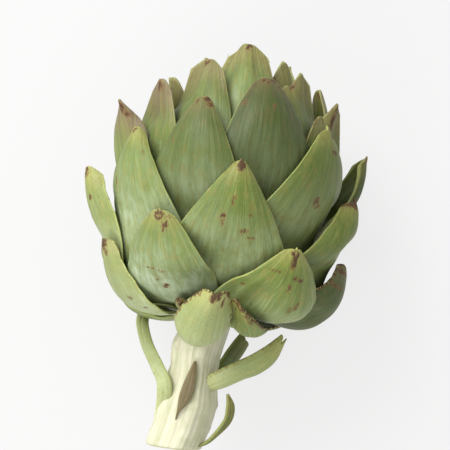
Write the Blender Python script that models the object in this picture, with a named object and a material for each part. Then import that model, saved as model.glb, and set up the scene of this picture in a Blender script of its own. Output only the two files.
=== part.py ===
"""A globe artichoke as cut, lying on its side: the stem with its heart, the bracts and the stem leaves.

The head is worked out in its own frame, in millimetres: Y runs along the head's axis from the stem junction
towards the crown, azimuth 0 looks up along Z, and a positive azimuth turns towards +X. Directions from the
middle of the head are given by their polar angle, 0 towards the stem and 180 towards the crown.
The bracts are laid from the lowest tip up, each one under those that already lie over it.
"""

import math
from collections import namedtuple

import bmesh
import bpy
import numpy as np
from mathutils import Matrix, Vector

MM = 0.001

# The closed head
HEAD_RADIUS = 46.5
HEAD_BOTTOM = 3.2
HEAD_TOP = 114.0
WIDEST_AT = 47.0
BASE_POWERS = (3.3, 0.28)
CROWN_POWERS = (2.4, 0.75)
MIDDLE = np.array([0.0, WIDEST_AT, 0.0])

# Polar angles of the lowest and the highest bract's base, and of the tips that they belong to
BASE_ANGLES = (16.0, 60.0)
TIP_ANGLES = (50.0, 180.0)
BASE_POWER = 1.1

# How the bracts are stacked
LAYER_SLOPE = 0.1
GAP = 0.38
PUSH_ROUNDS = 4
DENSE = 6
BRACT_GRID = (7, 10)
SMALL_GRID = (5, 7)
SMALL_WIDTH = 25.0
ROW_POWER = 1.15
BASE_SHARE = 0.22
BRACT_THICKNESS = (1.6, 1.5, 1.1)
EDGE_THINNING = 0.45

# The outline of a bract: it is widest a little less than its own width below the tip, or at a share of
# its length where that is nearer. The tip has a notch at the rib and rounded corners.
WIDEST_BELOW = 0.9
WIDEST_SHARE = 0.62
BASE_NARROWING = 0.6
NARROWING_POWER = 2.2
NOTCH_DEPTH = 0.9
NOTCH_WIDTH = 0.3
CORNER_SHARE = 0.85
TIP_POWER = 8

# How a bract curves: where it swells below its tip, where its belly is along it, and the powers by which
# its edges fold back and its upper part leans out
SWELL_BELOW = 15.0
SWELL_SPREAD = 14.0
BELLY_AT = 0.36
BELLY_SPREAD = 0.2
RISE_SHARE = 0.62
FOLD_POWER = 1.7
FOLD_RISE_POWER = 0.8
LEAN_POWER = 1.6

# The heart, which is the head of the stem that the bracts stand on
HEART_ANGLES = (14.0, 172.0)
HEART_RINGS = 15
HEART_PROBES = (9, 17)
ROOT_DEPTH = 3.5
ROOT_SLOPE = 0.42

# The stem: heights with the sideways place of its centre and with its radius
STEM_LENGTH = 40.0
STEM_CENTRES = ((-40, -9.2), (-32, -7.1), (-23, -5.8), (-10, -5.1), (-4, -5.0), (3, -3.8), (10, 0))
STEM_RADII = ((-40, 10.3), (-32, 10.6), (-23, 11.1), (-17, 9.7), (-10, 8.6), (-4, 9.2), (2, 9.4))
RING_SIDES = 24
STEM_RINGS = 8
STEM_TOP = -1.0
STEM_RIBS = 5
STEM_RIB_HEIGHT = 0.45
CUT_BEVEL = 0.6

# How the whole artichoke lies: how far its axis is off level, how far the floor is below its middle, and
# how near the floor a bract must come to be pressed flat on it
REST_PITCH = 5.5
FLOOR_DEPTH = 45.3
PRESSED_FLAT = 0.3

SHARP_EDGE = math.radians(40)
SEED = 7

Bract = namedtuple("Bract", "azimuth tip_height width lean fold tip turn bulge taper belly")


def bract(azimuth, tip_height, width, lean=0.0, fold=1.6, tip=1.9, turn=0.0, bulge=1.4, taper=1.9,
          belly=0.0):
    """A bract's driving sizes: degrees round the head, then millimetres.

    lean is how far the tip stands out, fold how far its edges drop behind its rib, tip the half width of the
    blunt tip and turn the degrees by which its base lies round from its tip. bulge is its swelling a little
    below the tip and belly its swelling near the base. A taper of 1 gives it straight sides, and more gives it
    fuller ones.
    """
    return Bract(azimuth, tip_height, width, lean, fold, tip, turn, bulge, taper, belly)


# Each tier from the lowest up: the bracts on its upper side, then the azimuths of those of the underside
TIERS = (
    (
        (bract(0, 21.4, 21, lean=1.0, fold=3.0, tip=3.4, turn=-13, bulge=4.0, belly=6.0),
         bract(-20, 13.5, 7, lean=2.0, fold=0.8, tip=0.5, bulge=2.5),
         bract(12, 16.5, 29, lean=1.0, fold=0.8, tip=0.6, turn=7, bulge=2.0, taper=1.3, belly=2.5)),
        (138, 188, 240),
    ),
    (
        (bract(34, 38.5, 46, tip=2.4, turn=-2, taper=1.75, belly=4.0),
         bract(-68, 33.5, 36, fold=3.0, tip=2.6, bulge=-0.8),
         bract(85, 34.5, 46, lean=-1.5, turn=12, bulge=3.8, belly=4.2)),
        (147, 203, 255),
    ),
    (
        (bract(-29.5, 46.5, 41, tip=3.4, turn=2),
         bract(73.5, 57.5, 53, fold=2.4, tip=2.4, bulge=6.0, taper=1.7, belly=4.0),
         bract(-83, 58, 34, lean=6.4, fold=5.0, tip=3.0, bulge=2.5)),
        (123, 182, 225),
    ),
    (
        (bract(4, 66.5, 53, tip=2.0, turn=-2, taper=1.4),
         bract(-56, 75, 52, fold=2.6, tip=2.0, turn=5),
         bract(108, 70.5, 38, lean=8.0, fold=2.2, bulge=6.6, taper=1.0, belly=6.0)),
        (148, 197, 244),
    ),
    (
        (bract(56, 82, 74, tip=2.6, turn=-8, taper=1.6),
         bract(-20.5, 88, 47, tip=2.4, turn=2, taper=1.6),
         bract(-71, 80.5, 42, lean=6.4, fold=4.0, tip=4.0, bulge=2.6, taper=2.3)),
        (125, 172, 220),
    ),
    (
        (bract(19, 97.5, 44, tip=4.2),
         bract(64, 88.8, 44, lean=5.0, tip=4.2, taper=2.4),
         bract(-60, 92.3, 45, lean=1.6, fold=2.6, tip=4.6, taper=2.5),
         bract(104, 96.5, 38, lean=2.0, tip=3.5)),
        (148, 197, 232),
    ),
    (
        (bract(-34, 102.4, 56, tip=4.6, taper=2.3),
         bract(46, 99.5, 46, lean=2.5, tip=4.6, taper=2.4),
         bract(-98, 91, 40, lean=-5.0)),
        (122, 168, 214),
    ),
    (
        (bract(5, 110, 46, tip=5.0, taper=2.2),
         bract(-60, 98.5, 46, tip=4.2, taper=2.4),
         bract(44, 107.0, 44, tip=4.6, taper=2.4)),
        (110, 168, 230),
    ),
    (
        (bract(27, 111.3, 36, tip=4.0, taper=2.3),
         bract(-40, 107.5, 38, tip=4.0, taper=2.3)),
        (125, 222),
    ),
)

# The random spread of the bracts of the underside, in degrees and millimetres
SPREAD_AZIMUTH = 4.0
SPREAD_HEIGHT = 1.0
SPREAD_WIDTH = 2.0
SPREAD_TURN = 5.0

Leaf = namedtuple("Leaf", "route widths hollow thickness facing")

# The small leaves of the stem: the route of the rib in the head's frame, the widths along it, how hollow
# and how thick each is, and the way it faces
STEM_LEAVES = {
    "stem_leaf_left": Leaf(
        ((-14.6, -17.5, 9.4), (-18.4, -11.3, 3.5), (-23.2, -4.6, -6.0), (-26.2, 2.0, -15.0),
         (-26.7, 7.0, -21.0)),
        (5.8, 5.4, 5.2, 4.8), 0.6, 1.6, (-0.1, -0.3, 0.95)),
    "stem_leaf_right": Leaf(
        ((5.4, -13.8, 7.0), (12.0, -9.6, 9.0), (17.8, -6.2, 10.5), (22.7, -1.6, 11.5), (27.2, 5.6, 11.5)),
        (8.0, 8.4, 9.2, 2.6), 1.6, 1.5, (0.25, -0.4, 0.9)),
    "stem_leaf_low": Leaf(
        ((3.2, -37.0, 4.0), (6.3, -33.6, 5.0), (10.1, -27.8, 5.5), (10.6, -22.6, 5.0), (8.9, -17.8, 4.5)),
        (1.6, 2.4, 4.4, 0.9), 0.5, 1.2, (0.4, -0.2, 0.9)),
    "stem_leaf_front": Leaf(
        ((-8.4, -26.0, 11.8), (-6.6, -20.5, 12.2), (-5.3, -14.0, 11.2), (-4.4, -7.0, 10.4)),
        (1.2, 4.4, 4.0, 1.0), 0.4, 1.2, (-0.05, 0.0, 1.0)),
    "stem_leaf_behind": Leaf(
        ((6.4, -9.5, -3.5), (8.9, -5.5, -7.0), (11.2, -1.8, -10.0), (13.4, 2.0, -13.0)),
        (7.4, 7.6, 7.6, 6.6), 0.7, 1.5, (0.3, -0.4, 0.85)),
}
LEAF_GRID = (5, 8)
LEAF_EDGE_THINNING = 0.35

# Colours from the photograph, as linear red, green and blue
FINISHES = {
    "bract": ((0.22, 0.32, 0.10), 0.55),
    "stem": ((0.42, 0.46, 0.24), 0.6),
    "stem_leaf": ((0.20, 0.29, 0.09), 0.55),
}


def profile_radius(height):
    """The head's radius at a height above the stem junction."""
    below = np.clip((WIDEST_AT - height) / (WIDEST_AT - HEAD_BOTTOM), 0, 1)
    above = np.clip((height - WIDEST_AT) / (HEAD_TOP - WIDEST_AT), 0, 1)
    base = (1 - below ** BASE_POWERS[0]) ** BASE_POWERS[1]
    crown = (1 - above ** CROWN_POWERS[0]) ** CROWN_POWERS[1]
    return HEAD_RADIUS * base * crown


def head_profile():
    """Polar angle, distance from the middle and length along the profile, from the stem to the crown."""
    turn = np.linspace(0, math.pi, 1601)
    height = np.where(
        turn < math.pi / 2,
        WIDEST_AT - (WIDEST_AT - HEAD_BOTTOM) * np.cos(turn),
        WIDEST_AT - (HEAD_TOP - WIDEST_AT) * np.cos(turn),
    )
    radius = profile_radius(height)
    angle = np.degrees(np.arctan2(radius, WIDEST_AT - height))
    reach = np.hypot(radius, WIDEST_AT - height)
    steps = np.hypot(np.diff(radius), np.diff(height))
    return angle, reach, np.concatenate([[0], np.cumsum(steps)])


PROFILE_ANGLE, PROFILE_REACH, PROFILE_LENGTH = head_profile()


def envelope(angle):
    """Distance from the middle to the head's outer surface at a polar angle in degrees."""
    return np.interp(angle, PROFILE_ANGLE, PROFILE_REACH)


def length_at(angle):
    return np.interp(angle, PROFILE_ANGLE, PROFILE_LENGTH)


def angle_at(length):
    return np.interp(length, PROFILE_LENGTH, PROFILE_ANGLE)


def root_reach(angle):
    """Distance from the middle to the surface that the bracts' bases stand on."""
    return envelope(angle) - ROOT_DEPTH - ROOT_SLOPE * np.maximum(angle - HEART_ANGLES[0], 0)


def direction(angle, azimuth):
    """The unit vector at a polar angle and an azimuth in degrees, on the last axis of the array."""
    a, z = np.radians(angle), np.radians(azimuth)
    a, z = np.broadcast_arrays(a, z)
    return np.stack([np.sin(a) * np.sin(z), -np.cos(a), np.sin(a) * np.cos(z)], axis=-1)


def sideways(azimuth):
    z = np.radians(azimuth)
    return np.stack([np.cos(z), np.zeros_like(z), -np.sin(z)], axis=-1)


def polar_angle(way):
    return np.degrees(np.arccos(np.clip(-way[..., 1], -1, 1)))


class Cover:
    """How far in the bracts laid so far reach in every direction from the middle, in small cells."""

    CELL = 0.02
    NOTHING = 1000.0

    def __init__(self):
        self.half = int(1 / self.CELL) + 2
        self.reach = np.full([2 * self.half + 1] * 3, self.NOTHING)

    def cells(self, points):
        offset = points - MIDDLE
        reach = np.linalg.norm(offset, axis=-1)
        index = np.rint(offset / reach[..., None] / self.CELL).astype(int) + self.half
        return (index[..., 0], index[..., 1], index[..., 2]), reach

    def add(self, points):
        index, reach = self.cells(points)
        np.minimum.at(self.reach, index, reach)

    def over(self, points):
        """The least reach of anything laid near each point's direction, and the point's own reach."""
        wide = self.reach
        for axis in range(3):
            wide = np.minimum(wide, np.minimum(np.roll(wide, 1, axis), np.roll(wide, -1, axis)))
        index, reach = self.cells(points)
        return wide[index], reach


def bract_angles(b):
    """Polar angles of a bract's tip and of its base."""
    height = b.tip_height
    tip = float(np.degrees(np.arctan2(profile_radius(height), WIDEST_AT - height)))
    lowest, highest = BASE_ANGLES
    share = np.clip((tip - TIP_ANGLES[0]) / (TIP_ANGLES[1] - TIP_ANGLES[0]), 0, 1) ** BASE_POWER
    return tip, lowest + (highest - lowest) * share


def half_width(b, down, length):
    """Half the width at a distance below the tip."""
    widest = min(WIDEST_BELOW * b.width, WIDEST_SHARE * length)
    upper = 1 - (1 - np.clip(down / widest, 0, 1)) ** b.taper
    lower = np.clip((down - widest) / (length - widest), 0, 1) ** NARROWING_POWER
    return (b.tip + (b.width / 2 - b.tip) * upper) * (1 - BASE_NARROWING * lower)


def tip_drop(b, across):
    """How far the tip's edge lies below its top: rounded corners and a notch at the rib."""
    corner = 1 - np.sqrt(1 - CORNER_SHARE * across**2)
    notch = NOTCH_DEPTH * np.exp(-((across / NOTCH_WIDTH) ** 2))
    return b.tip * corner + notch


def wished_surface(b, across, along):
    """The middle surface of a bract before it is laid on the others.

    across runs from -1 to 1 and along from 0 at the base to 1 at the tip. It gives the points and the
    directions from the middle in which they lie.
    """
    tip_angle, base_angle = bract_angles(b)
    top = length_at(tip_angle)
    length = top - length_at(base_angle)
    down = length * (1 - along) + along**TIP_POWER * tip_drop(b, across)
    angle = angle_at(top - down)
    azimuth = b.azimuth + b.turn * (1 - along)
    reach = envelope(angle)
    swing = across * half_width(b, down, length) / reach
    way = (
        np.cos(swing)[..., None] * direction(angle, azimuth)
        + np.sin(swing)[..., None] * sideways(azimuth)
    )
    rise = np.clip(1 - down / (RISE_SHARE * length), 0, 1)
    stacked = envelope(polar_angle(way)) - LAYER_SLOPE * (tip_angle - angle)
    swollen = b.bulge * np.exp(-(((down - SWELL_BELOW) / SWELL_SPREAD) ** 2))
    swollen += b.belly * np.exp(-(((along - BELLY_AT) / BELLY_SPREAD) ** 2))
    folded = b.fold * np.abs(across) ** FOLD_POWER * rise**FOLD_RISE_POWER
    outer = stacked + swollen * (1 - across**2) - folded + b.lean * rise**LEAN_POWER
    rooted = root_reach(polar_angle(way)) + GAP + BRACT_THICKNESS[0] / 2
    hold = np.clip(1 - along / BASE_SHARE, 0, 1) ** 2
    reach = outer * (1 - hold) + rooted * hold
    return MIDDLE + reach[..., None] * way, way


def thickness(across, along):
    base, middle, tip = BRACT_THICKNESS
    rib = np.interp(along, (0, 0.4, 1), (base, middle, tip))
    return rib * (1 - EDGE_THINNING * np.abs(across) ** 3)


def grid_normals(points):
    """Unit normals of a grid of points, facing away from the head's middle."""
    along = np.gradient(points, axis=0)
    across = np.gradient(points, axis=1)
    normal = np.cross(across, along)
    return normal / np.linalg.norm(normal, axis=-1, keepdims=True)


def refined(grid, times):
    """A grid of values with straight steps between its points."""
    rows, columns = grid.shape[:2]
    at_row = np.linspace(0, rows - 1, (rows - 1) * times + 1)
    at_column = np.linspace(0, columns - 1, (columns - 1) * times + 1)
    r = np.minimum(at_row.astype(int), rows - 2)
    c = np.minimum(at_column.astype(int), columns - 2)
    fr = (at_row - r).reshape(-1, 1, *[1] * (grid.ndim - 2))
    fc = (at_column - c).reshape(1, -1, *[1] * (grid.ndim - 2))
    low = grid[r][:, c] * (1 - fc) + grid[r][:, c + 1] * fc
    high = grid[r + 1][:, c] * (1 - fc) + grid[r + 1][:, c + 1] * fc
    return low * (1 - fr) + high * fr


def highest_near(values, times, rows, columns):
    """For each point of the coarse grid, the highest of the fine values up to one coarse step away."""
    padded = np.pad(values, times, constant_values=-1e9)
    found = np.empty((rows, columns))
    for i in range(rows):
        for j in range(columns):
            found[i, j] = padded[
                i * times : i * times + 2 * times + 1, j * times : j * times + 2 * times + 1
            ].max()
    return found


def blurred(values):
    """Each value mixed with its four neighbours."""
    p = np.pad(values, 1, mode="edge")
    return 0.5 * values + 0.125 * (p[:-2, 1:-1] + p[2:, 1:-1] + p[1:-1, :-2] + p[1:-1, 2:])


def below_floor(points, way):
    """How far points reach through the floor along the ways from the middle."""
    down = direction(90 - REST_PITCH, 180)
    return ((points - MIDDLE) @ down - FLOOR_DEPTH) / np.maximum(way @ down, 0.1)


def bract_faces(b, cover, grid):
    """The outer and inner faces of a bract laid under the cover, as grids of points."""
    columns, rows = grid
    across, along = np.meshgrid(
        np.linspace(-1, 1, columns), 1 - (1 - np.linspace(0, 1, rows)) ** ROW_POWER
    )
    wished, way = wished_surface(b, across, along)
    thick = thickness(across, along)[..., None]
    outer = wished + grid_normals(wished) * thick / 2
    limit, own = cover.over(refined(outer, DENSE))
    needed = highest_near(own + GAP - limit, DENSE, rows, columns)
    needed = np.maximum(needed, below_floor(outer, way))
    push = np.maximum(needed, 0)
    for _ in range(PUSH_ROUNDS):
        push = np.maximum(needed, blurred(push))
        push[-1] = np.maximum(needed[-1], 0)
    laid = wished - push[..., None] * way
    normal = grid_normals(laid)
    outer, inner = laid + normal * thick / 2, laid - normal * thick / 2
    cover.add(refined(inner, 2 * DENSE))
    return outer, inner


def all_bracts():
    """Every bract in the order of laying: tier by tier from the stem to the crown."""
    random = np.random.default_rng(SEED)
    found = []
    for upper, azimuths in TIERS:
        found += upper
        tip_height = np.mean([b.tip_height for b in upper])
        width = np.mean([b.width for b in upper])
        for azimuth in azimuths:
            spread = random.uniform(-1, 1, 4)
            found.append(
                bract(
                    azimuth + spread[0] * SPREAD_AZIMUTH,
                    tip_height + spread[1] * SPREAD_HEIGHT,
                    width + spread[2] * SPREAD_WIDTH,
                    turn=spread[3] * SPREAD_TURN,
                )
            )
    return found


def lay_up():
    """The faces of every bract, the lowest first."""
    cover = Cover()
    faces = []
    for b in all_bracts():
        grid = SMALL_GRID if b.width < SMALL_WIDTH else BRACT_GRID
        faces.append(bract_faces(b, cover, grid))
    return faces, cover


def stem_centre(height):
    heights, places = zip(*STEM_CENTRES)
    return np.array([np.interp(height, heights, places), height, 0.0])


def stem_ring(height, sides):
    heights, radii = zip(*STEM_RADII)
    radius = np.interp(height, heights, radii)
    turn = np.linspace(0, 2 * math.pi, sides, endpoint=False)
    ribbed = radius + STEM_RIB_HEIGHT * np.cos(STEM_RIBS * turn)
    around = np.stack([np.cos(turn), np.zeros(sides), np.sin(turn)], axis=-1)
    return stem_centre(height) + ribbed[:, None] * around


def heart_ring(angle, step, cover):
    """A ring of the heart, at each point as wide as the bracts leave room for round about it."""
    azimuth = 90 - np.linspace(0, 360, RING_SIDES, endpoint=False)
    near_angle = np.linspace(angle - step, angle + step, HEART_PROBES[0])[:, None, None]
    near_azimuth = azimuth[:, None] + np.linspace(-360, 360, HEART_PROBES[1]) / RING_SIDES
    limit, _ = cover.over(MIDDLE + direction(near_angle, near_azimuth))
    reach = np.minimum(limit.min(axis=(0, 2)) - GAP, envelope(angle) - ROOT_DEPTH)
    if angle < BASE_ANGLES[1]:
        reach = np.minimum(reach, root_reach(angle))
    return MIDDLE + reach[:, None] * direction(angle, azimuth)


def stem_rings(cover):
    """The stem from its cut end up, then the heart to its crown."""
    cut = -STEM_LENGTH
    centre = stem_centre(cut)
    end = centre + (stem_ring(cut, RING_SIDES) - centre) * (1 - CUT_BEVEL / STEM_RADII[0][1])
    stem = [stem_ring(h, RING_SIDES) for h in np.linspace(cut + CUT_BEVEL, STEM_TOP, STEM_RINGS)]
    angles, step = np.linspace(*HEART_ANGLES, HEART_RINGS, retstep=True)
    return [end] + stem + [heart_ring(a, step, cover) for a in angles]


def smooth_route(points, count):
    """Points along a smooth curve through the given ones."""
    p = np.array(points, float)
    p = np.vstack([2 * p[0] - p[1], p, 2 * p[-1] - p[-2]])
    found = []
    for at in np.linspace(0, len(p) - 3, count):
        i = min(int(at), len(p) - 4)
        t = at - i
        a, b, c, d = p[i : i + 4]
        found.append(
            0.5 * (2 * b + (c - a) * t + (2 * a - 5 * b + 4 * c - d) * t**2
                   + (3 * b - a - 3 * c + d) * t**3)
        )
    return np.array(found)


def leaf_faces(leaf):
    """The outer and inner faces of a leaf of the stem."""
    columns, rows = LEAF_GRID
    route = smooth_route(leaf.route, rows)
    along = np.linspace(0, 1, rows)
    run = np.gradient(route, axis=0)
    run /= np.linalg.norm(run, axis=1, keepdims=True)
    facing = np.array(leaf.facing) - run * (run @ np.array(leaf.facing))[:, None]
    facing /= np.linalg.norm(facing, axis=1, keepdims=True)
    side = np.cross(run, facing)
    half = smooth_route([(w,) for w in leaf.widths], rows)[:, 0] / 2
    across = np.linspace(-1, 1, columns)
    middle = (
        route[:, None]
        + side[:, None] * (half[:, None] * across)[..., None]
        - facing[:, None] * (leaf.hollow * across**2)[None, :, None]
    )
    normal = np.broadcast_to(facing[:, None], middle.shape)
    thick = leaf.thickness * (1 - LEAF_EDGE_THINNING * across**2)[None, :, None]
    return middle + normal * thick / 2, middle - normal * thick / 2


def laid_down():
    """The turn that lays the head's axis down, which is REST_PITCH above level."""
    return Matrix.Rotation(math.radians(REST_PITCH), 3, "X")


def turned(points):
    return points @ np.array(laid_down()).T


def floor_level():
    return turned(MIDDLE)[2] - FLOOR_DEPTH


def pressed(points):
    """The points with those nearest the floor pressed flat on it."""
    flat = points.copy()
    flat[..., 2][points[..., 2] < floor_level() + PRESSED_FLAT] = floor_level()
    return flat


def shell_mesh(outer, inner):
    """Faces of a blade: a grid of quads outside, one inside, and the rim that joins them."""
    rows, columns = outer.shape[:2]
    count = rows * columns
    index = np.arange(count).reshape(rows, columns)
    faces = []
    for i in range(rows - 1):
        for j in range(columns - 1):
            a, b, c, d = index[i, j], index[i, j + 1], index[i + 1, j + 1], index[i + 1, j]
            faces += [(a, b, c), (a, c, d)]
            faces += [(a + count, c + count, b + count), (a + count, d + count, c + count)]
    loop = [*index[0, :], *index[1:, -1], *index[-1, -2::-1], *index[-2:0:-1, 0]]
    for a, b in zip(loop, loop[1:] + loop[:1]):
        faces += [(a, a + count, b + count), (a, b + count, b)]
    points = np.concatenate([outer.reshape(-1, 3), inner.reshape(-1, 3)])
    return points, faces


def ring_mesh(rings):
    """Faces of a closed body through rings of points."""
    sides = len(rings[0])
    points = np.concatenate(rings)
    faces = []
    for k in range(len(rings) - 1):
        for j in range(sides):
            a, b = k * sides + j, k * sides + (j + 1) % sides
            faces.append((a, a + sides, b + sides, b))
    faces.append(tuple(range(sides)))
    top = (len(rings) - 1) * sides
    faces.append(tuple(top + j for j in reversed(range(sides))))
    return points, faces


def material(name):
    colour, roughness = FINISHES[name]
    made = bpy.data.materials.new(name)
    made.use_nodes = True
    shader = made.node_tree.nodes["Principled BSDF"]
    shader.inputs["Base Color"].default_value = (*colour, 1)
    shader.inputs["Roughness"].default_value = roughness
    shader.inputs["Metallic"].default_value = 0
    made.diffuse_color = (*colour, 1)
    return made


def add_solid(name, points, faces, finish, parent):
    """One object, with its origin at the middle of its box, in metres."""
    centre = (points.min(axis=0) + points.max(axis=0)) / 2
    mesh = bpy.data.meshes.new(name)
    mesh.from_pydata([tuple(p) for p in (points - centre) * MM], [], faces)
    work = bmesh.new()
    work.from_mesh(mesh)
    bmesh.ops.recalc_face_normals(work, faces=work.faces)
    work.to_mesh(mesh)
    work.free()
    mesh.materials.append(finish)
    mesh.shade_smooth()
    mesh.set_sharp_from_angle(angle=SHARP_EDGE)
    made = bpy.data.objects.new(name, mesh)
    made.location = Vector(centre * MM)
    made.parent = parent
    bpy.context.scene.collection.objects.link(made)
    return made


def pieces():
    """Name, points, faces and finish of every piece, laid down but still measured from the head's frame."""
    laid, cover = lay_up()
    blades = [(f"bract_{i + 1:02d}", pair, "bract") for i, pair in enumerate(laid)]
    blades += [(name, leaf_faces(leaf), "stem_leaf") for name, leaf in STEM_LEAVES.items()]
    found = []
    for name, (outer, inner), finish in blades:
        found.append((name, *shell_mesh(pressed(turned(outer)), turned(inner)), finish))
    rings = [turned(ring) for ring in stem_rings(cover)]
    found.append(("stem_and_heart", *ring_mesh(rings), "stem"))
    return found


def home(found):
    """The point that becomes the origin: on the floor, under the middle of the whole box."""
    points = np.concatenate([points for _, points, _, _ in found])
    low, high = points.min(axis=0), points.max(axis=0)
    return np.array([(low[0] + high[0]) / 2, (low[1] + high[1]) / 2, floor_level()])


def main():
    for old in list(bpy.data.objects):
        bpy.data.objects.remove(old)
    artichoke = bpy.data.objects.new("artichoke", None)
    bpy.context.scene.collection.objects.link(artichoke)
    finishes = {name: material(name) for name in FINISHES}
    found = pieces()
    origin = home(found)
    for name, points, faces, finish in found:
        add_solid(name, points - origin, faces, finishes[finish], artichoke)


main()
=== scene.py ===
"""A globe artichoke with its stem, lying on a pale floor: detailed bracts, stem and stem leaves.

The head is worked out in its own frame, in millimetres, as its solids are: Y runs along the head's axis
from the stem junction towards the crown, azimuth 0 looks up along Z, and a positive azimuth turns towards
+X. Directions from the middle of the head are given by their polar angle, 0 towards the stem and 180
towards the crown.
The bracts are laid from the lowest tip up, each one under those that already lie over it.
"""

import math
from collections import namedtuple

import bpy
import numpy as np
from mathutils import Matrix, Vector

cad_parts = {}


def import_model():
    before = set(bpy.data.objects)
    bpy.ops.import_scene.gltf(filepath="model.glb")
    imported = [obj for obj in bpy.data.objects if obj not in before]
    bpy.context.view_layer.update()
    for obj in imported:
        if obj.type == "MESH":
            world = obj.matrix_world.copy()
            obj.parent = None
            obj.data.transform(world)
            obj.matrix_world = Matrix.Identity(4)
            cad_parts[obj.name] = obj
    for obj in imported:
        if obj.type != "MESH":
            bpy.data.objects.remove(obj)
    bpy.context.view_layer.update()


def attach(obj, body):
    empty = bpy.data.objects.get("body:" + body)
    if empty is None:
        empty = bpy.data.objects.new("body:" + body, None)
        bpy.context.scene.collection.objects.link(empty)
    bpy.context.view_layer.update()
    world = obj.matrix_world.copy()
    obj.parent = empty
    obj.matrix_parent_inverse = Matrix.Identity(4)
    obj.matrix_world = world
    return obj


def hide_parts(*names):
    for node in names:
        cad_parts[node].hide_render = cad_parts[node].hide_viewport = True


MM = 0.001

# The closed head
HEAD_RADIUS = 46.5
HEAD_BOTTOM = 3.2
HEAD_TOP = 114.0
WIDEST_AT = 47.0
BASE_POWERS = (3.3, 0.28)
CROWN_POWERS = (2.4, 0.75)
MIDDLE = np.array([0.0, WIDEST_AT, 0.0])

# Polar angles of the lowest and the highest bract's base, and of the tips that they belong to
BASE_ANGLES = (16.0, 60.0)
TIP_ANGLES = (50.0, 180.0)
BASE_POWER = 1.1

# How the bracts are stacked
LAYER_SLOPE = 0.1
GAP = 0.38
PUSH_ROUNDS = 4
DENSE = 6
BRACT_GRID = (7, 10)
SMALL_GRID = (5, 7)
SMALL_WIDTH = 25.0
ROW_POWER = 1.15
BASE_SHARE = 0.22
BRACT_THICKNESS = (1.6, 1.5, 1.1)
EDGE_THINNING = 0.45

# The outline of a bract: it is widest a little less than its own width below the tip, or at a share of
# its length where that is nearer. The tip has a notch at the rib and rounded corners.
WIDEST_BELOW = 0.9
WIDEST_SHARE = 0.62
BASE_NARROWING = 0.6
NARROWING_POWER = 2.2
NOTCH_DEPTH = 0.9
NOTCH_WIDTH = 0.3
CORNER_SHARE = 0.85
TIP_POWER = 8

# How a bract curves: where it swells below its tip, where its belly is along it, and the powers by which
# its edges fold back and its upper part leans out
SWELL_BELOW = 15.0
SWELL_SPREAD = 14.0
BELLY_AT = 0.36
BELLY_SPREAD = 0.2
RISE_SHARE = 0.62
FOLD_POWER = 1.7
FOLD_RISE_POWER = 0.8
LEAN_POWER = 1.6

# The heart, which is the head of the stem that the bracts stand on
HEART_ANGLES = (14.0, 172.0)
HEART_RINGS = 15
HEART_PROBES = (9, 17)
ROOT_DEPTH = 3.5
ROOT_SLOPE = 0.42

# The stem: heights with the sideways place of its centre and with its radius
STEM_LENGTH = 40.0
STEM_CENTRES = ((-40, -9.2), (-32, -7.1), (-23, -5.8), (-10, -5.1), (-4, -5.0), (3, -3.8), (10, 0))
STEM_RADII = ((-40, 10.3), (-32, 10.6), (-23, 11.1), (-17, 9.7), (-10, 8.6), (-4, 9.2), (2, 9.4))
RING_SIDES = 24
STEM_TOP = -1.0
STEM_RIBS = 5
STEM_RIB_HEIGHT = 0.45
CUT_BEVEL = 0.6

# How the whole artichoke lies: how far its axis is off level, and how far the floor is below its middle
REST_PITCH = 5.5
FLOOR_DEPTH = 45.3

SEED = 7

Bract = namedtuple("Bract", "azimuth tip_height width lean fold tip turn bulge taper belly")


def bract(azimuth, tip_height, width, lean=0.0, fold=1.6, tip=1.9, turn=0.0, bulge=1.4, taper=1.9,
          belly=0.0):
    """A bract's driving sizes: degrees round the head, then millimetres.

    lean is how far the tip stands out, fold how far its edges drop behind its rib, tip the half width of
    the blunt tip and turn the degrees by which its base lies round from its tip. bulge is its swelling a
    little below the tip and belly its swelling near the base. A taper of 1 gives it straight sides, and
    more gives it fuller ones.
    """
    return Bract(azimuth, tip_height, width, lean, fold, tip, turn, bulge, taper, belly)


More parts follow.
